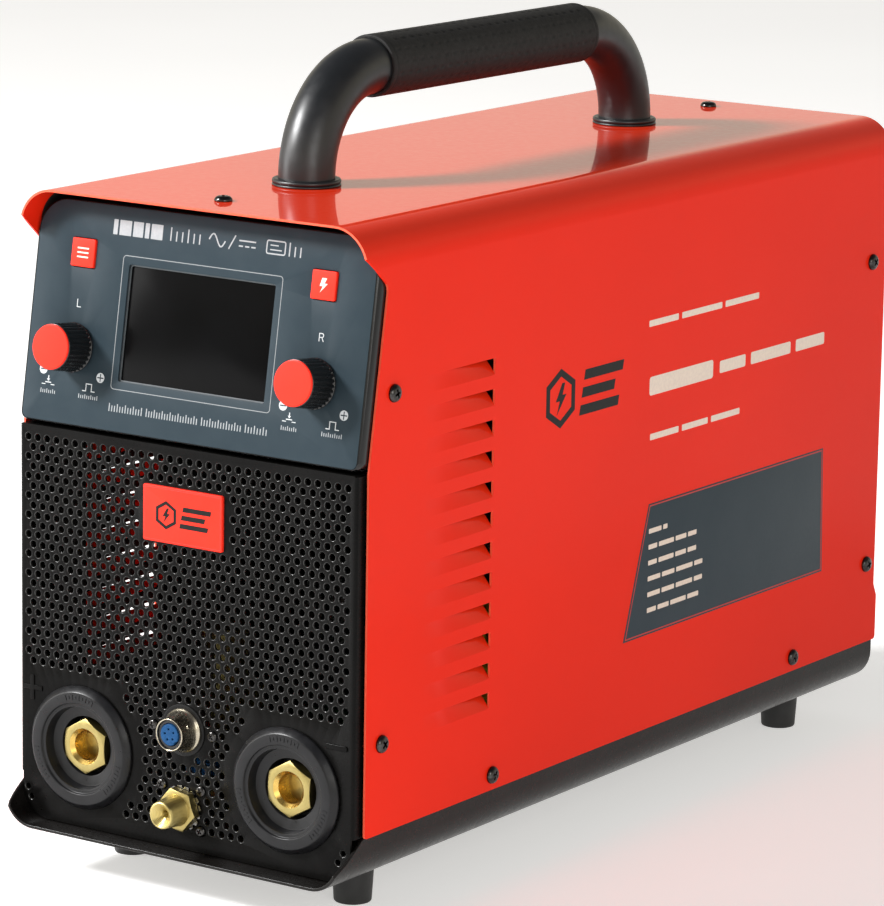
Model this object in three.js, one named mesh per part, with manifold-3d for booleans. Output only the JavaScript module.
// Portable AC/DC TIG welding inverter: a folded-steel case on four rubber feet,
// with a sloping control panel, a perforated front grille with two bayonet
// current sockets, a control connector and a gas outlet, a tubular carrying
// handle, and a fan, switch, cable gland and gas inlet on the rear panel.
// Millimetres. +X to the machine's right as seen from its front, +Y to its rear,
// +Z up. The origin is on the floor under the centre of the whole machine.
import * as THREE from 'three';
import { mergeVertices } from 'three/addons/utils/BufferGeometryUtils.js';
import Module from 'manifold-3d';

const wasm = await Module();
wasm.setup();

// ---------------------------------------------------------------- dimensions
const FOOT_H = 20;                 // height of the rubber feet
const CASE_W = 185;                // outside width of the folded cover
const CASE_L = 439;                // length of the cover's side, front edge to rear edge
const CASE_H = 282.4;              // top of the cover above the tray's underside
const SHEET = 1.5;                 // sheet thickness of cover and tray
const FOLD_R = 17.5;               // outside radius of the cover's upper folds
const COVER_BOTTOM = 21.6;         // lower edge of the cover's sides
const VISOR_Y = -2.5;              // front edge of the top, which overhangs the panel
const TRAY_HALF = 90.7;            // outside half width of the tray
const TRAY_R = 15;                 // outside radius of the tray's lower folds
const TRAY_WALL_TOP = 40;          // top of the tray's side walls, hidden by the cover
const LIP_Y = -16.5;               // front edge of the tray's projecting lip
const GAP = 0.3;                   // clearance between touching pieces

const TILT = 9.13 * Math.PI / 180; // lean of the control panel from the vertical
const PANEL_Z = 179.4;             // height of the panel's lower edge
const PANEL_HALF = 90.3;           // half width of the bezel
const PANEL_TOP = 98.6;            // slope length of the bezel
const OVERLAY_FACE = 5.5;          // front of the overlay ahead of the cover's edge

const LCD_HALF = 39;               // half width of the display window
const LCD_LOW = 22.9, LCD_HIGH = 73.4;
const KEY_X = 64, KEY_S = 75.8, KEY_W = 12.7, KEY_H = 12.3;
const KNOB_X = 64.5, KNOB_S = 34.6;
const KNOB_BASE_R = 11.9, KNOB_TOP_R = 10.9, CAP_R = 10.3;
const PUSH = 0.8;                  // travel of the knobs and the keys

const GRILLE_Y = -5.3;             // front face of the grille
const GRILLE_T = 1.2;
const GRILLE_TOP = 179.0;
const SOCKET_X = 55.5, SOCKET_Z = 38.1, SOCKET_R = 27.7;
const HEX_AF = 22;                 // across flats of the brass contact
const PLUG_BORE_R = 6.5;           // 13 mm bayonet plug
const CONN_Z = 55.2;               // control connector
const GAS_Z = 20.6;                // gas outlet
const BADGE_Z = 149.1, BADGE_W = 42.5, BADGE_H = 24.6;

const HANDLE_FRONT_Y = 81, HANDLE_REAR_Y = 340;
const HANDLE_AXIS_Z = 330;         // height of the grip's axis above the tray's underside
const HANDLE_BEND_R = 44.5, HANDLE_TUBE_R = 12.5, COLLAR_R = 15.5;
const GRIP_R = 14, GRIP_Y0 = 127, GRIP_Y1 = 294;

const FOOT_X = 60.5, FOOT_Y0 = 37, FOOT_Y1 = 401;

const REAR_Y0 = 434, REAR_T = 1.2; // rear panel
const FAN_Z = 145, FAN_HALF = 60, FAN_BORE_R = 56;
const SWITCH_X = 45, SWITCH_Z = 240;
const GLAND_X = -45, GLAND_Z = 240, GLAND_BORE_R = 4.9;
const INLET_X = -50, INLET_Z = 45;

const FRONT_END = -21.3, REAR_END = 461; // gas outlet's tip and gas inlet's tip
const CENTRE_Y = (FRONT_END + REAR_END) / 2;

// side screws as [y, z]; the same on both sides
const SIDE_SCREWS = [[17.1, 211.3], [11.2, 61.2], [96, 28.5], [357, 28.5], [427, 61.8], [423, 213.8]];
const TOP_SCREWS_Y = [21, 418];

// ------------------------------------------------------------------- helpers
const toSolid = (geometry) => {
  const g = geometry.clone();
  for (const name of Object.keys(g.attributes)) if (name !== 'position') g.deleteAttribute(name);
  const m = mergeVertices(g, 1e-4);
  const pos = m.attributes.position.array;
  const tri = new Uint32Array(m.index.array);
  let v = 0;
  for (let i = 0; i < tri.length; i += 3) {
    const [a, b, c] = [tri[i] * 3, tri[i + 1] * 3, tri[i + 2] * 3];
    v += pos[a] * (pos[b + 1] * pos[c + 2] - pos[b + 2] * pos[c + 1])
       - pos[a + 1] * (pos[b] * pos[c + 2] - pos[b + 2] * pos[c])
       + pos[a + 2] * (pos[b] * pos[c + 1] - pos[b + 1] * pos[c]);
  }
  if (v < 0) for (let i = 0; i < tri.length; i += 3) [tri[i + 1], tri[i + 2]] = [tri[i + 2], tri[i + 1]];
  return new wasm.Manifold(new wasm.Mesh({ numProp: 3, vertProperties: new Float32Array(pos), triVerts: tri }));
};
const toGeometry = (solid) => {
  const mesh = solid.getMesh();
  const g = new THREE.BufferGeometry();
  const p = new Float32Array(mesh.numVert * 3);
  for (let i = 0; i < mesh.numVert; i++)
    for (let k = 0; k < 3; k++) p[i * 3 + k] = mesh.vertProperties[i * mesh.numProp + k];
  g.setAttribute('position', new THREE.BufferAttribute(p, 3));
  g.setIndex(new THREE.BufferAttribute(new Uint32Array(mesh.triVerts), 1));
  g.computeVertexNormals();
  return g;
};
const unite = (...gs) => toGeometry(gs.map(toSolid).reduce((a, b) => a.add(b)));
const cut = (g, ...tools) => toGeometry(tools.map(toSolid).reduce((a, b) => a.subtract(b), toSolid(g)));
const common = (g, h) => toGeometry(toSolid(g).intersect(toSolid(h)));

const shape = (pts) => new THREE.Shape(pts.map(([u, v]) => new THREE.Vector2(u, v)));
// a rectangle with its own radius at each corner: [lower left, lower right, upper right, upper left]
const rounded = (x0, y0, x1, y1, radii, steps = 4) => {
  const r = Array.isArray(radii) ? radii : [radii, radii, radii, radii];
  const c = [[x0, y0, 1, 1, Math.PI], [x1, y0, -1, 1, 1.5 * Math.PI], [x1, y1, -1, -1, 0], [x0, y1, 1, -1, 0.5 * Math.PI]];
  const pts = [];
  c.forEach(([x, y, sx, sy, a0], i) => {
    if (!r[i]) { pts.push([x, y]); return; }
    for (let k = 0; k <= steps; k++) {
      const a = a0 + (k / steps) * Math.PI / 2;
      pts.push([x + sx * r[i] + r[i] * Math.cos(a), y + sy * r[i] + r[i] * Math.sin(a)]);
    }
  });
  return pts;
};
const circle = (cx, cy, r, n = 16, turn = 0) =>
  Array.from({ length: n }, (_, i) => [cx + r * Math.cos(turn + i * 2 * Math.PI / n), cy + r * Math.sin(turn + i * 2 * Math.PI / n)]);
const extrude = (pts, depth) => new THREE.ExtrudeGeometry(Array.isArray(pts) ? shape(pts) : pts, { depth, bevelEnabled: false, steps: 1, curveSegments: 6 });
const alongZ = (pts, z0, z1) => extrude(pts, z1 - z0).translate(0, 0, z0);                       // pts are [x, y]
const alongY = (pts, y0, y1) => extrude(pts, y1 - y0).rotateX(Math.PI / 2).translate(0, y1, 0);   // pts are [x, z]
const PERM = new THREE.Matrix4().set(0, 0, 1, 0, 1, 0, 0, 0, 0, 1, 0, 0, 0, 0, 0, 1);
const alongX = (pts, x0, x1) => extrude(pts, x1 - x0).applyMatrix4(PERM).translate(x0, 0, 0);     // pts are [y, z]
const box = (x0, x1, y0, y1, z0, z1) => new THREE.BoxGeometry(x1 - x0, y1 - y0, z1 - z0).translate((x0 + x1) / 2, (y0 + y1) / 2, (z0 + z1) / 2);
// a profile of [r, height] turned about an axis: +Y by default
const turned = (profile, n = 24) => {
  const g = new THREE.LatheGeometry(profile.map(([r, h]) => new THREE.Vector2(r, h)), n);
  return toGeometry(toSolid(g));
};
const turnedZ = (profile, n) => turned(profile, n).rotateX(Math.PI / 2);
const turnedX = (profile, n) => turned(profile, n).rotateZ(-Math.PI / 2);

const group = new THREE.Group();
const frame = new THREE.Group();
frame.position.set(0, -CENTRE_Y, FOOT_H);
group.add(frame);
const panel = new THREE.Group();
panel.position.set(0, 0, PANEL_Z);
panel.rotation.x = Math.PI / 2 - TILT; // local x across, y up the slope, z out of the panel
frame.add(panel);
panel.updateMatrix();
const toPanel = panel.matrix.clone().invert();

const paint = {
  red: { color: 0xe0362a, roughness: 0.3, metalness: 0.0 },
  black: { color: 0x121213, roughness: 0.45, metalness: 0.0 },
  satin: { color: 0x1b1b1d, roughness: 0.4, metalness: 0.2 },
  slate: { color: 0x4a545c, roughness: 0.5, metalness: 0.0 },
  orange: { color: 0xff4a32, roughness: 0.35, metalness: 0.0 },
  glass: { color: 0x030304, roughness: 0.1, metalness: 0.0 },
  rubber: { color: 0x1a1a1b, roughness: 0.8, metalness: 0.0 },
  brass: { color: 0xc9a544, roughness: 0.3, metalness: 1.0 },
  nickel: { color: 0x8b8d90, roughness: 0.3, metalness: 1.0 },
  steel: { color: 0x8d8f92, roughness: 0.35, metalness: 1.0 },
  blue: { color: 0x3d7db9, roughness: 0.45, metalness: 0.0 },
  board: { color: 0x1f5a37, roughness: 0.6, metalness: 0.0 },
  alloy: { color: 0xa9acb0, roughness: 0.45, metalness: 1.0 },
  tape: { color: 0xd9b52c, roughness: 0.5, metalness: 0.0 },
};
const add = (parent, name, geometry, finish) => {
  const mesh = new THREE.Mesh(geometry, new THREE.MeshStandardMaterial(paint[finish]));
  mesh.name = name;
  parent.add(mesh);
  return mesh;
};

// ------------------------------------------------------------ case: base tray
const HALF = CASE_W / 2;
const traySection = [
  ...rounded(-TRAY_HALF, 0, TRAY_HALF, TRAY_WALL_TOP, [TRAY_R, TRAY_R, 0, 0], 5),
];
const trayHollow = rounded(-TRAY_HALF + SHEET, SHEET, TRAY_HALF - SHEET, TRAY_WALL_TOP + 10, [TRAY_R - SHEET, TRAY_R - SHEET, 0, 0], 5);
const traySide = [
  [LIP_Y + 1.5, -1], [CASE_L, -1], [CASE_L, 21.3], [408, 21.3], [408, TRAY_WALL_TOP + 1],
  [20, TRAY_WALL_TOP + 1], [20, 21.3], [1.5, 21.3], [LIP_Y, 8.5], [LIP_Y, 1.5],
];
const sideHole = (x, y, z, r) => alongX(circle(y, z, r, 8, Math.PI / 8), x - 6, x + 6);
let tray = common(
  cut(alongY(traySection, LIP_Y - 1, CASE_L), alongY(trayHollow, LIP_Y - 2, CASE_L + 1)),
  alongX(traySide, -100, 100));
tray = cut(tray, ...[2, 3].flatMap((i) => [-1, 1].map((s) => sideHole(s * 90, ...SIDE_SCREWS[i], 2.2))));
add(frame, 'base_tray', tray, 'satin');

// ------------------------------------------------------------ case: top cover
const coverOut = rounded(-HALF, COVER_BOTTOM, HALF, CASE_H, [0, 0, FOLD_R, FOLD_R], 6);
const coverIn = rounded(-HALF + SHEET, COVER_BOTTOM - 5, HALF - SHEET, CASE_H - SHEET, [0, 0, FOLD_R - SHEET, FOLD_R - SHEET], 6);
const coverSide = [
  [0, COVER_BOTTOM - 1], [CASE_L, COVER_BOTTOM - 1], [CASE_L, 44], [CASE_L - 3, 50], [CASE_L - 3, 252], [CASE_L, 258],
  [CASE_L, CASE_H + 1], [VISOR_Y, CASE_H + 1], [VISOR_Y, 270],
  [77.6 * Math.tan(TILT), 257], [0, PANEL_Z],
];
let cover = common(
  cut(alongY(coverOut, VISOR_Y - 1, CASE_L + 1), alongY(coverIn, VISOR_Y - 2, CASE_L + 2)),
  alongX(coverSide, -100, 100));
const LOUVERS = 12, LOUVER_PITCH = 13.5, LOUVER_TOP = 213.5, LOUVER_Y0 = 42, LOUVER_Y1 = 93, LOUVER_SLIT = 3;
const slits = [];
for (let i = 0; i < LOUVERS; i++) {
  const z = LOUVER_TOP - i * LOUVER_PITCH;
  for (const s of [-1, 1]) slits.push(box(s * 90.5 - 4, s * 90.5 + 4, LOUVER_Y0, LOUVER_Y1, z - LOUVER_SLIT, z));
}
const topHole = (y) => alongZ(circle(0, y, 2.2, 8), CASE_H - 12, CASE_H + 3);
const coverHoles = SIDE_SCREWS.flatMap(([y, z]) => [-1, 1].map((s) => sideHole(s * 92, y, z, 2.2)));
cover = cut(cover, ...slits, ...coverHoles, ...TOP_SCREWS_Y.map(topHole));
add(frame, 'top_cover', cover, 'red');

// ---------------------------------------------------- front: perforated grille
const plateLower = rounded(-88.9, 1.9, 88.9, 30, [13, 13, 0, 0], 5);
let grille = unite(
  alongY(plateLower, GRILLE_Y, GRILLE_Y + GRILLE_T),
  alongY(rounded(-90.3, 22, 90.3, GRILLE_TOP, 0), GRILLE_Y, GRILLE_Y + GRILLE_T),
  ...[-1, 1].map((s) => alongX([[GRILLE_Y, 22], [18, 22], [18, 170], [GRILLE_Y + 3, 178], [GRILLE_Y, 178]], s > 0 ? 89.1 : -90.3, s > 0 ? 90.3 : -89.1)));
const hole = (x, z, r, n = 20) => alongY(circle(x, z, r, n), GRILLE_Y - 3, GRILLE_Y + 6);
grille = cut(grille, hole(-SOCKET_X, SOCKET_Z, 19.4, 24), hole(SOCKET_X, SOCKET_Z, 19.4, 24), hole(0, CONN_Z, 8.4), hole(0, GAS_Z, 5.4, 16),
  ...[-1, 1].map((s) => sideHole(s * 90, ...SIDE_SCREWS[1], 2.2)));
add(frame, 'front_grille', grille, 'satin');

add(frame, 'badge_plate', alongY(rounded(-BADGE_W / 2, BADGE_Z - BADGE_H / 2, BADGE_W / 2, BADGE_Z + BADGE_H / 2, 1.5, 3), GRILLE_Y - GAP - 1.2, GRILLE_Y - GAP), 'orange');

// ----------------------------------------------------- front: current sockets
const FY = GRILLE_Y - GAP; // seat of everything mounted on the grille's face
const housing = () => turned([
  [27.7, FY], [27.7, -7.4], [26.2, -9], [20.4, -9], [20, -7.9], [18.6, -7.9], [18, -3], [13.3, -2.6], [13.3, 6],
  [9.4, 6], [9.4, 22], [18.9, 22], [18.9, FY], [27.7, FY],
], 22);
const contact = () => cut(
  unite(alongY(circle(0, 0, HEX_AF / Math.sqrt(3), 6, Math.PI / 6), -4.2, 5.7), alongY(circle(0, 0, 9, 20), 5, 31)),
  turned([[0, 19], [PLUG_BORE_R, 19], [PLUG_BORE_R, -2.7], [8, -4.2], [8, -5], [0, -5]], 20));
for (const [side, s] of [['left', -1], ['right', 1]]) {
  add(frame, `socket_housing_${side}`, housing().translate(s * SOCKET_X, 0, SOCKET_Z), 'black');
  add(frame, `socket_contact_${side}`, contact().translate(s * SOCKET_X, 0, SOCKET_Z), 'brass');
}

// -------------------------------------------------- front: control connector
add(frame, 'torch_connector_shell', turned([
  [10.6, FY], [10.6, -7.2], [9.2, -7.6], [9, -11.2], [7.4, -12], [7.2, -15.5], [6, -15.5], [6, 5], [8.1, 5], [8.1, FY], [10.6, FY],
], 24).translate(0, 0, CONN_Z), 'nickel');
add(frame, 'torch_connector_insert', turned([[0, 8], [5.7, 8], [5.7, -12.8], [0, -12.8]], 20).translate(0, 0, CONN_Z), 'blue');

// --------------------------------------------------------- front: gas outlet
add(frame, 'gas_outlet', cut(
  unite(
    alongY(circle(0, 0, 9.7, 6, -Math.PI / 18), -10, -6.6),
    turned([[0, 14], [5, 14], [5, FY], [7.6, FY], [7.6, -6.8], [6.2, -8], [6.2, -10.8], [5.4, -20.6], [5, FRONT_END], [0, FRONT_END]], 20)),
  turned([[0, 15], [1.4, 15], [1.4, -15.5], [4.5, FRONT_END], [4.5, FRONT_END - 2], [0, FRONT_END - 2]], 12)).translate(0, 0, GAS_Z), 'brass');

// ------------------------------------------------------------- control panel
const bezelOuter = rounded(-PANEL_HALF, 0.3, PANEL_HALF, PANEL_TOP, [4, 4, 15.5, 15.5], 5);
const bezelHollow = rounded(-88.8, 1.8, 88.8, 97.1, [2.5, 2.5, 14, 14], 4);
const WALL_BACK = 2.4, WALL_FRONT = 4.7;
const key = (grow) => (s) => rounded(s * KEY_X - KEY_W / 2 - grow, KEY_S - KEY_H / 2 - grow, s * KEY_X + KEY_W / 2 + grow, KEY_S + KEY_H / 2 + grow, 0.8 + Math.max(grow, 0), 3);
const window_ = (g) => rounded(-LCD_HALF - g, LCD_LOW - g, LCD_HALF + g, LCD_HIGH + g, 1, 3);
const bezelTools = [
  alongZ(rounded(-89.6, 0.9, 89.6, PANEL_TOP - 0.7, [3.4, 3.4, 14.8, 14.8], 5), WALL_FRONT, 8),
  alongZ(bezelHollow, -21, WALL_BACK),
  alongZ(window_(0.5), 0, 8),
  ...[-1, 1].flatMap((s) => [
    alongZ(key(0.4)(s), 0, 8),
    alongZ(circle(s * KNOB_X, KNOB_S, 4.9, 16), 0, 8),
    sideHole(s * 90, ...SIDE_SCREWS[0], 2.2).translate(0, 0, -PANEL_Z).applyMatrix4(new THREE.Matrix4().makeRotationX(-(Math.PI / 2 - TILT))),
  ]),
  alongZ(circle(0, TOP_SCREWS_Y[0], 2.2, 12), CASE_H - 14, CASE_H + 3).applyMatrix4(toPanel),
];
add(panel, 'control_bezel', cut(alongZ(bezelOuter, -20, 5.6), ...bezelTools), 'satin');

add(panel, 'panel_overlay', cut(
  alongZ(rounded(-89.3, 1.2, 89.3, PANEL_TOP - 1, [3.1, 3.1, 14.5, 14.5], 5), 5.0, OVERLAY_FACE),
  alongZ(window_(0), 4, 7),
  ...[-1, 1].flatMap((s) => [alongZ(key(0.3)(s), 4, 7), alongZ(circle(s * KNOB_X, KNOB_S, 5.2, 16), 4, 7)])), 'slate');

add(panel, 'display_module', unite(
  alongZ(rounded(-42.5, 19.5, 42.5, 76.5, 1, 2), -5.5, 2.1),
  alongZ(rounded(-LCD_HALF - 0.1, LCD_LOW - 0.1, LCD_HALF + 0.1, LCD_HIGH + 0.1, 0.8, 2), 2, 4.0)), 'glass');

const pushKey = (s) => unite(
  alongZ(key(0)(s), 1.5, OVERLAY_FACE + 1),
  alongZ(key(1.3)(s), 0.9, 2.1),
  box(s * KEY_X - 2, s * KEY_X + 2, KEY_S - 2, KEY_S + 2, -3.2, 1.2));
add(panel, 'menu_button', pushKey(-1), 'orange');
add(panel, 'arc_button', pushKey(1), 'orange');

const dee = (r, flat, n = 16) => circle(0, 0, r, n).map(([x, y]) => [Math.min(x, flat), y])
  .filter(([x, y], i, a) => i === 0 || Math.hypot(x - a[i - 1][0], y - a[i - 1][1]) > 1e-3);
for (const [side, s] of [['left', -1], ['right', 1]]) {
  const at = (g) => g.translate(s * KNOB_X, KNOB_S, 0);
  add(panel, `encoder_body_${side}`, at(cut(
    unite(alongZ(rounded(-6.2, -6.6, 6.2, 6.6, 0.5, 1), -7, 2.1), alongZ(circle(0, 0, 4.5, 16), 2, 7.2)),
    alongZ(circle(0, 0, 3.3, 16), -8, 8),
    alongZ(circle(0, 0, 5.3, 16), -4.6, -1))), 'nickel');
  add(panel, `encoder_rotor_${side}`, at(cut(alongZ(circle(0, 0, 4.9, 16), -4.3, -1.3), alongZ(dee(3.25, 2.4), -6, 0))), 'black');
  add(panel, `encoder_shaft_${side}`, at(alongZ(dee(2.9, 2.05), -5.5, 18)), 'steel');
  add(panel, `knob_${side}`, at(cut(
    turnedZ([[0, 19], [KNOB_TOP_R - 0.5, 19], [KNOB_TOP_R, 18.4], [KNOB_BASE_R, 7.4], [KNOB_BASE_R - 0.5, 6.7], [0, 6.7]], 24),
    alongZ(circle(0, 0, 5.6, 16), 6, 8.6),
    alongZ(dee(3.2, 2.35), 8, 18.3))), 'black');
  add(panel, `knob_cap_${side}`, at(turnedZ([[0, 22], [CAP_R - 1.2, 22], [CAP_R, 21.2], [CAP_R, 19.3], [0, 19.3]], 24)), 'orange');
}

const tact = (s) => box(s * KEY_X - 3, s * KEY_X + 3, KEY_S - 3, KEY_S + 3, -8, -4.3);
add(panel, 'control_board', unite(box(-84, 84, 6, 92, -8.9, -7.3), tact(-1), tact(1), box(-30, 30, 80, 88, -14, -8.5)), 'board');

// --------------------------------------------------------------------- handle
const H0 = CASE_H + GAP;
const BOW_V = HANDLE_AXIS_Z - HANDLE_BEND_R - H0;                       // straight length of a leg
const BOW_A = HANDLE_BEND_R * Math.PI / 2;                               // length of a bend
const BOW_LEN = 2 * BOW_V + 2 * BOW_A + HANDLE_REAR_Y - HANDLE_FRONT_Y - 2 * HANDLE_BEND_R;
// the axis' point [y, z] at a length d along the bow
const bowAt = (d) => {
  const e = Math.min(d, BOW_LEN - d), q = Math.min(Math.max((e - BOW_V) / HANDLE_BEND_R, 0), Math.PI / 2);
  const y = HANDLE_BEND_R * (1 - Math.cos(q)) + Math.max(e - BOW_V - BOW_A, 0);
  const z = H0 + Math.min(e, BOW_V) + HANDLE_BEND_R * Math.sin(q);
  return { y: d > BOW_LEN / 2 ? HANDLE_REAR_Y - y : HANDLE_FRONT_Y + y, z, q };
};
// round sections along the bow, joined into a closed tube whose ends are square to the case
const bowLoft = () => {
  const n = 16, first = [0];
  for (let i = 0; i <= 6; i++) first.push(BOW_V + BOW_A * i / 6);
  const all = [...first, ...first.slice().reverse().map((d) => BOW_LEN - d)];
  const p = [], idx = [];
  all.forEach((d) => {
    const c = bowAt(d), q = c.q;
    const e2 = d > BOW_LEN / 2 ? [0, Math.cos(q), Math.sin(q)] : [0, -Math.cos(q), Math.sin(q)]; // in the bow's plane, square to its run
    for (let k = 0; k < n; k++) {
      const a = k * 2 * Math.PI / n, u = HANDLE_TUBE_R * Math.cos(a), v = HANDLE_TUBE_R * Math.sin(a);
      p.push(u, c.y + v * e2[1], c.z + v * e2[2]);
    }
  });
  const m = all.length;
  for (let i = 0; i < m - 1; i++) for (let k = 0; k < n; k++) {
    const a = i * n + k, b = i * n + (k + 1) % n, c = a + n, d = b + n;
    idx.push(a, b, c, b, d, c);
  }
  for (let k = 1; k < n - 1; k++) { idx.push(0, k + 1, k); const o = (m - 1) * n; idx.push(o, o + k, o + k + 1); }
  const g = new THREE.BufferGeometry();
  g.setAttribute('position', new THREE.Float32BufferAttribute(p, 3));
  g.setIndex(idx);
  return g;
};
const collar = (y) => turnedZ([[0, H0], [COLLAR_R, H0], [COLLAR_R, H0 + 3.6], [COLLAR_R - 1.2, H0 + 5], [0, H0 + 5]], 20).translate(0, y, 0);
add(frame, 'handle_bow', unite(bowLoft(), collar(HANDLE_FRONT_Y), collar(HANDLE_REAR_Y)), 'black');
add(frame, 'handle_grip', turned([
  [HANDLE_TUBE_R + GAP, GRIP_Y0], [GRIP_R - 0.6, GRIP_Y0], [GRIP_R, GRIP_Y0 + 0.8], [GRIP_R, GRIP_Y1 - 0.8], [GRIP_R - 0.6, GRIP_Y1], [HANDLE_TUBE_R + GAP, GRIP_Y1], [HANDLE_TUBE_R + GAP, GRIP_Y0],
], 20).translate(0, 0, HANDLE_AXIS_Z), 'rubber');

// ----------------------------------------------------------------------- feet
for (const [name, x, y] of [['front_left', -FOOT_X, FOOT_Y0], ['front_right', FOOT_X, FOOT_Y0], ['rear_left', -FOOT_X, FOOT_Y1], ['rear_right', FOOT_X, FOOT_Y1]])
  add(frame, `foot_${name}`, turnedZ([[0, -FOOT_H], [8.2, -FOOT_H], [9, -FOOT_H + 1], [9.6, -GAP], [0, -GAP]], 18).translate(x, y, 0), 'rubber');

// ----------------------------------------------------------------- rear panel
const rearHole = (pts) => alongY(pts, REAR_Y0 - 3, REAR_Y0 + 4);
let rear = unite(
  alongY(rounded(-88.9, 1.9, 88.9, 40, [13, 13, 0, 0], 5), REAR_Y0, REAR_Y0 + REAR_T),
  alongY(rounded(-PANEL_HALF, 22, PANEL_HALF, CASE_H - SHEET - 0.4, [0, 0, 15.6, 15.6], 6), REAR_Y0, REAR_Y0 + REAR_T),
  box(-PANEL_HALF, -89.1, 412, REAR_Y0 + REAR_T, 22, 262),
  box(89.1, PANEL_HALF, 412, REAR_Y0 + REAR_T, 22, 262),
  box(-70, 70, 408, REAR_Y0 + REAR_T, CASE_H - SHEET - 1.6, CASE_H - SHEET - 0.4));
rear = cut(rear,
  rearHole(circle(0, FAN_Z, FAN_BORE_R + 1, 28)),
  rearHole(rounded(SWITCH_X - 13.6, SWITCH_Z - 10.6, SWITCH_X + 13.6, SWITCH_Z + 10.6, 1, 2)),
  rearHole(circle(GLAND_X, GLAND_Z, 10.3, 20)),
  rearHole(circle(INLET_X, INLET_Z, 6.3, 16)),
  ...[4, 5].flatMap((i) => [-1, 1].map((s) => sideHole(s * 90, ...SIDE_SCREWS[i], 2.2))),
  alongZ(circle(0, TOP_SCREWS_Y[1], 2.2, 12), CASE_H - 6, CASE_H + 3));
add(frame, 'rear_panel', rear, 'satin');

// ------------------------------------------------------------------------ fan
const FAN_Y0 = 408.5, FAN_Y1 = REAR_Y0 - GAP;
const strut = (a) => box(-1.5, 1.5, FAN_Y0, FAN_Y0 + 3, 15, 58).applyMatrix4(new THREE.Matrix4().makeRotationY(a));
add(frame, 'fan_frame', unite(
  cut(alongY(rounded(-FAN_HALF, -FAN_HALF, FAN_HALF, FAN_HALF, 5, 2), FAN_Y0, FAN_Y1), alongY(circle(0, 0, FAN_BORE_R, 28), FAN_Y0 - 1, FAN_Y1 + 1)),
  turned([[0, FAN_Y0], [19, FAN_Y0], [19, FAN_Y0 + 3.5], [0, FAN_Y0 + 3.5]], 16),
  ...[0, 1, 2, 3].map((k) => strut(Math.PI / 4 + k * Math.PI / 2))).translate(0, 0, FAN_Z), 'black');
const blade = (a) => {
  const p = [], idx = [], rows = 4;
  for (let i = 0; i < rows; i++) {
    const r = 17 + (54.3 - 17) * i / (rows - 1);
    const pitch = (52 - 22 * i / (rows - 1)) * Math.PI / 180, chord = 11 + 9 * i / (rows - 1), t = 0.75;
    const c = [Math.cos(pitch) * chord, Math.sin(pitch) * chord * 0.62], nrm = [-Math.sin(pitch), Math.cos(pitch)];
    const sweep = 0.16 * i / (rows - 1);
    for (const [e, f] of [[-1, -1], [1, -1], [1, 1], [-1, 1]]) {
      const tang = e * c[0] + f * t * nrm[0], ax = e * c[1] + f * t * nrm[1];
      const ang = tang / r + sweep;
      p.push(r * Math.cos(ang), 423 + Math.max(-9, Math.min(9, ax)), r * Math.sin(ang));
    }
  }
  for (let i = 0; i < rows - 1; i++) for (let k = 0; k < 4; k++) {
    const b = i * 4 + k, c = i * 4 + (k + 1) % 4;
    idx.push(b, b + 4, c, c, b + 4, c + 4);
  }
  const o = (rows - 1) * 4;
  idx.push(0, 1, 2, 0, 2, 3, o, o + 2, o + 1, o, o + 3, o + 2);
  const g = new THREE.BufferGeometry();
  g.setAttribute('position', new THREE.Float32BufferAttribute(p, 3));
  g.setIndex(idx);
  return g.applyMatrix4(new THREE.Matrix4().makeRotationY(a));
};
add(frame, 'fan_rotor', unite(
  turned([[0, 413.4], [20, 413.4], [20.5, 414], [20.5, 431], [19.5, 432.4], [0, 432.4]], 20),
  ...Array.from({ length: 7 }, (_, k) => blade(k * 2 * Math.PI / 7))).translate(0, 0, FAN_Z), 'black');
const ring = (r) => new THREE.TorusGeometry(r, 1.1, 4, r > 35 ? 20 : 14).rotateX(Math.PI / 2).translate(0, 437, 0);
const bar = (a) => box(-1, 1, 436, 438, 8, 59).applyMatrix4(new THREE.Matrix4().makeRotationY(a));
const tab = (a) => cut(box(-4, 4, 435.6, 437.4, 55, 76), alongY(circle(0, 72, 2.2, 8), 434, 439)).applyMatrix4(new THREE.Matrix4().makeRotationY(a));
add(frame, 'fan_guard', unite(
  ...[24, 41, 58].map(ring), turned([[0, 436], [10, 436], [10, 438], [0, 438]], 12),
  ...[0, 1, 2, 3].flatMap((k) => [bar(Math.PI / 4 + k * Math.PI / 2), tab(Math.PI / 4 + k * Math.PI / 2)])).translate(0, 0, FAN_Z), 'nickel');

// --------------------------------------------------- rear: switch, gland, inlet
const SY = REAR_Y0 + REAR_T + GAP;
add(frame, 'switch_body', cut(
  unite(
    alongY(rounded(-15.5, -12.5, 15.5, 12.5, 2, 2), SY, SY + 2.2),
    alongY(rounded(-13.2, -10.2, 13.2, 10.2, 1, 1), SY - 24, SY + 1)),
  alongY(rounded(-11, -8, 11, 8, 0.8, 1), SY - 16, SY + 5)).translate(SWITCH_X, 0, SWITCH_Z), 'black');
const ROCK = 11 * Math.PI / 180;
add(frame, 'switch_rocker', extrude([[-7, -1.2], [-4.6, -4.6], [4.6, -4.6], [7, -1.2], [7.2, 3.2], [0, 1.9], [-7.2, 3.2]], 20.6)
  .translate(0, 0, -10.3).applyMatrix4(PERM.clone()) // section [u, v] becomes [y, z]
  .rotateX(-Math.PI / 2).rotateX(ROCK).translate(SWITCH_X, SY + 0.8, SWITCH_Z), 'black');
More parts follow.
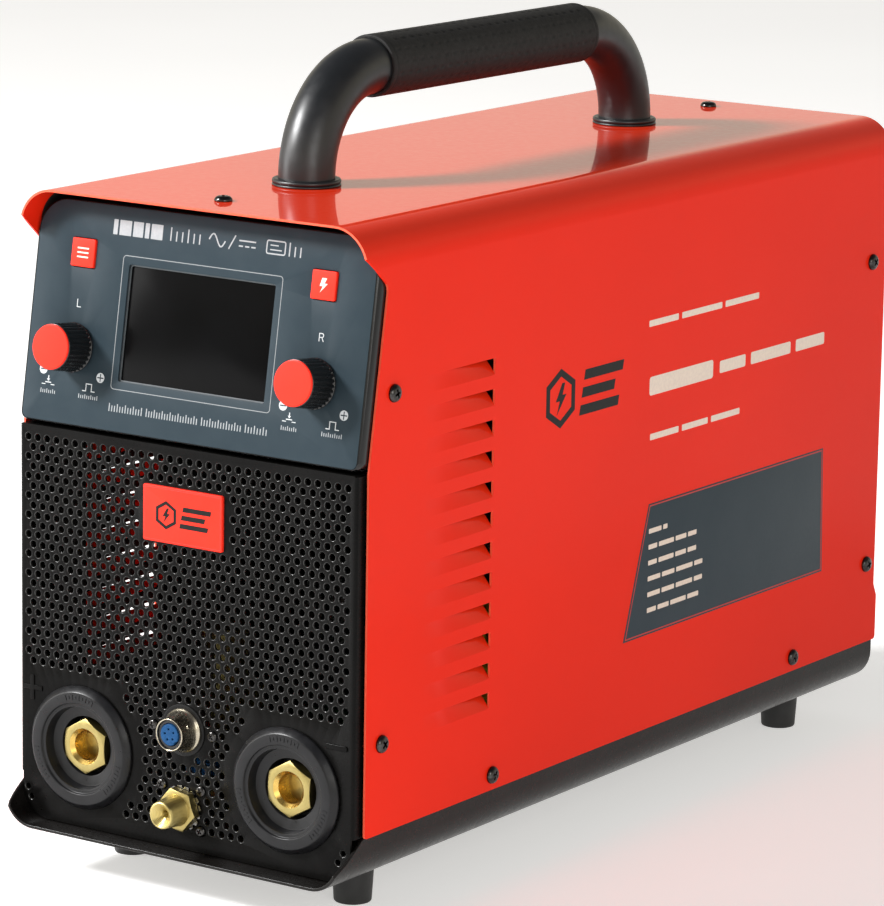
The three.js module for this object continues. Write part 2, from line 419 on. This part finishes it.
add(frame, 'mains_gland', turned([
  [GLAND_BORE_R, 418], [9.4, 418], [9.4, SY], [12.4, SY], [12.4, SY + 3], [11, SY + 4], [11, SY + 12], [8.8, SY + 18], [7, SY + 20], [GLAND_BORE_R, SY + 20], [GLAND_BORE_R, 418],
], 18).translate(GLAND_X, 0, GLAND_Z), 'black');
add(frame, 'gas_inlet', cut(
  unite(
    alongY(circle(0, 0, 9.5, 6), SY, SY + 5),
    turned([[0, 416], [5.8, 416], [5.8, SY + 4], [4.6, SY + 6], [4.6, SY + 9], [5.4, SY + 10], [4.4, SY + 14], [5.4, SY + 15], [4.4, SY + 19], [5.2, SY + 20], [3.6, REAR_END], [0, REAR_END]], 16)),
  turned([[0, 414], [2.2, 414], [2.2, REAR_END + 1], [0, REAR_END + 1]], 10)).translate(INLET_X, 0, INLET_Z), 'brass');

// ----------------------------------------------------------------- inner parts
const post = (x, y) => alongZ(circle(x, y, 3, 8), 1.8, 14.2);
add(frame, 'main_board', unite(box(-72, 72, 150, 395, 14, 15.8), post(-66, 158), post(66, 158), post(-66, 387), post(66, 387)), 'board');
const comb = [[-74, 16.4], [-8, 16.4]];
for (let i = 0; i < 10; i++) { const x = -8 - i * 6.6; comb.push([x, 76], [x - 2.2, 76], [x - 2.2, 24], [x - 6.6, 24]); }
comb.pop(); comb.push([-74, 24]);
add(frame, 'heatsink', alongY(comb, 180, 330), 'alloy');
add(frame, 'main_transformer', unite(
  cut(box(14, 70, 195, 255, 16.4, 72), box(22, 62, 194, 205, 26, 62), box(22, 62, 245, 256, 26, 62)),
  alongY(rounded(24, 28, 60, 60, 5, 2), 188, 262)), 'tape');
add(frame, 'capacitor', alongZ(circle(38, 310, 25, 18), 16.4, 96), 'blue');
add(frame, 'gas_valve', unite(box(-72, -44, 90, 112, 22, 44), alongZ(circle(-58, 101, 11, 14), 43, 72), box(-66, -50, 84, 118, 28, 36), box(-64, -52, 94, 108, 1.8, 23)), 'brass');

// ----------------------------------------------------------------- case screws
const screwProfile = [[0, -7], [1.7, -7], [1.7, GAP], [4, GAP], [3.9, 1.4], [2.6, 2.3], [0, 2.5]];
const SCREW_NAMES = ['panel', 'grille', 'base_front', 'base_rear', 'rear_low', 'rear_high'];
SIDE_SCREWS.forEach(([y, z], i) => {
  add(frame, `screw_right_${SCREW_NAMES[i]}`, turnedX(screwProfile, 12).translate(HALF, y, z), 'black');
  add(frame, `screw_left_${SCREW_NAMES[i]}`, turnedX(screwProfile, 12).rotateZ(Math.PI).translate(-HALF, y, z), 'black');
});
TOP_SCREWS_Y.forEach((y, i) => add(frame, `screw_top_${['front', 'rear'][i]}`, turnedZ(screwProfile, 12).translate(0, y, CASE_H), 'black'));

export default group;
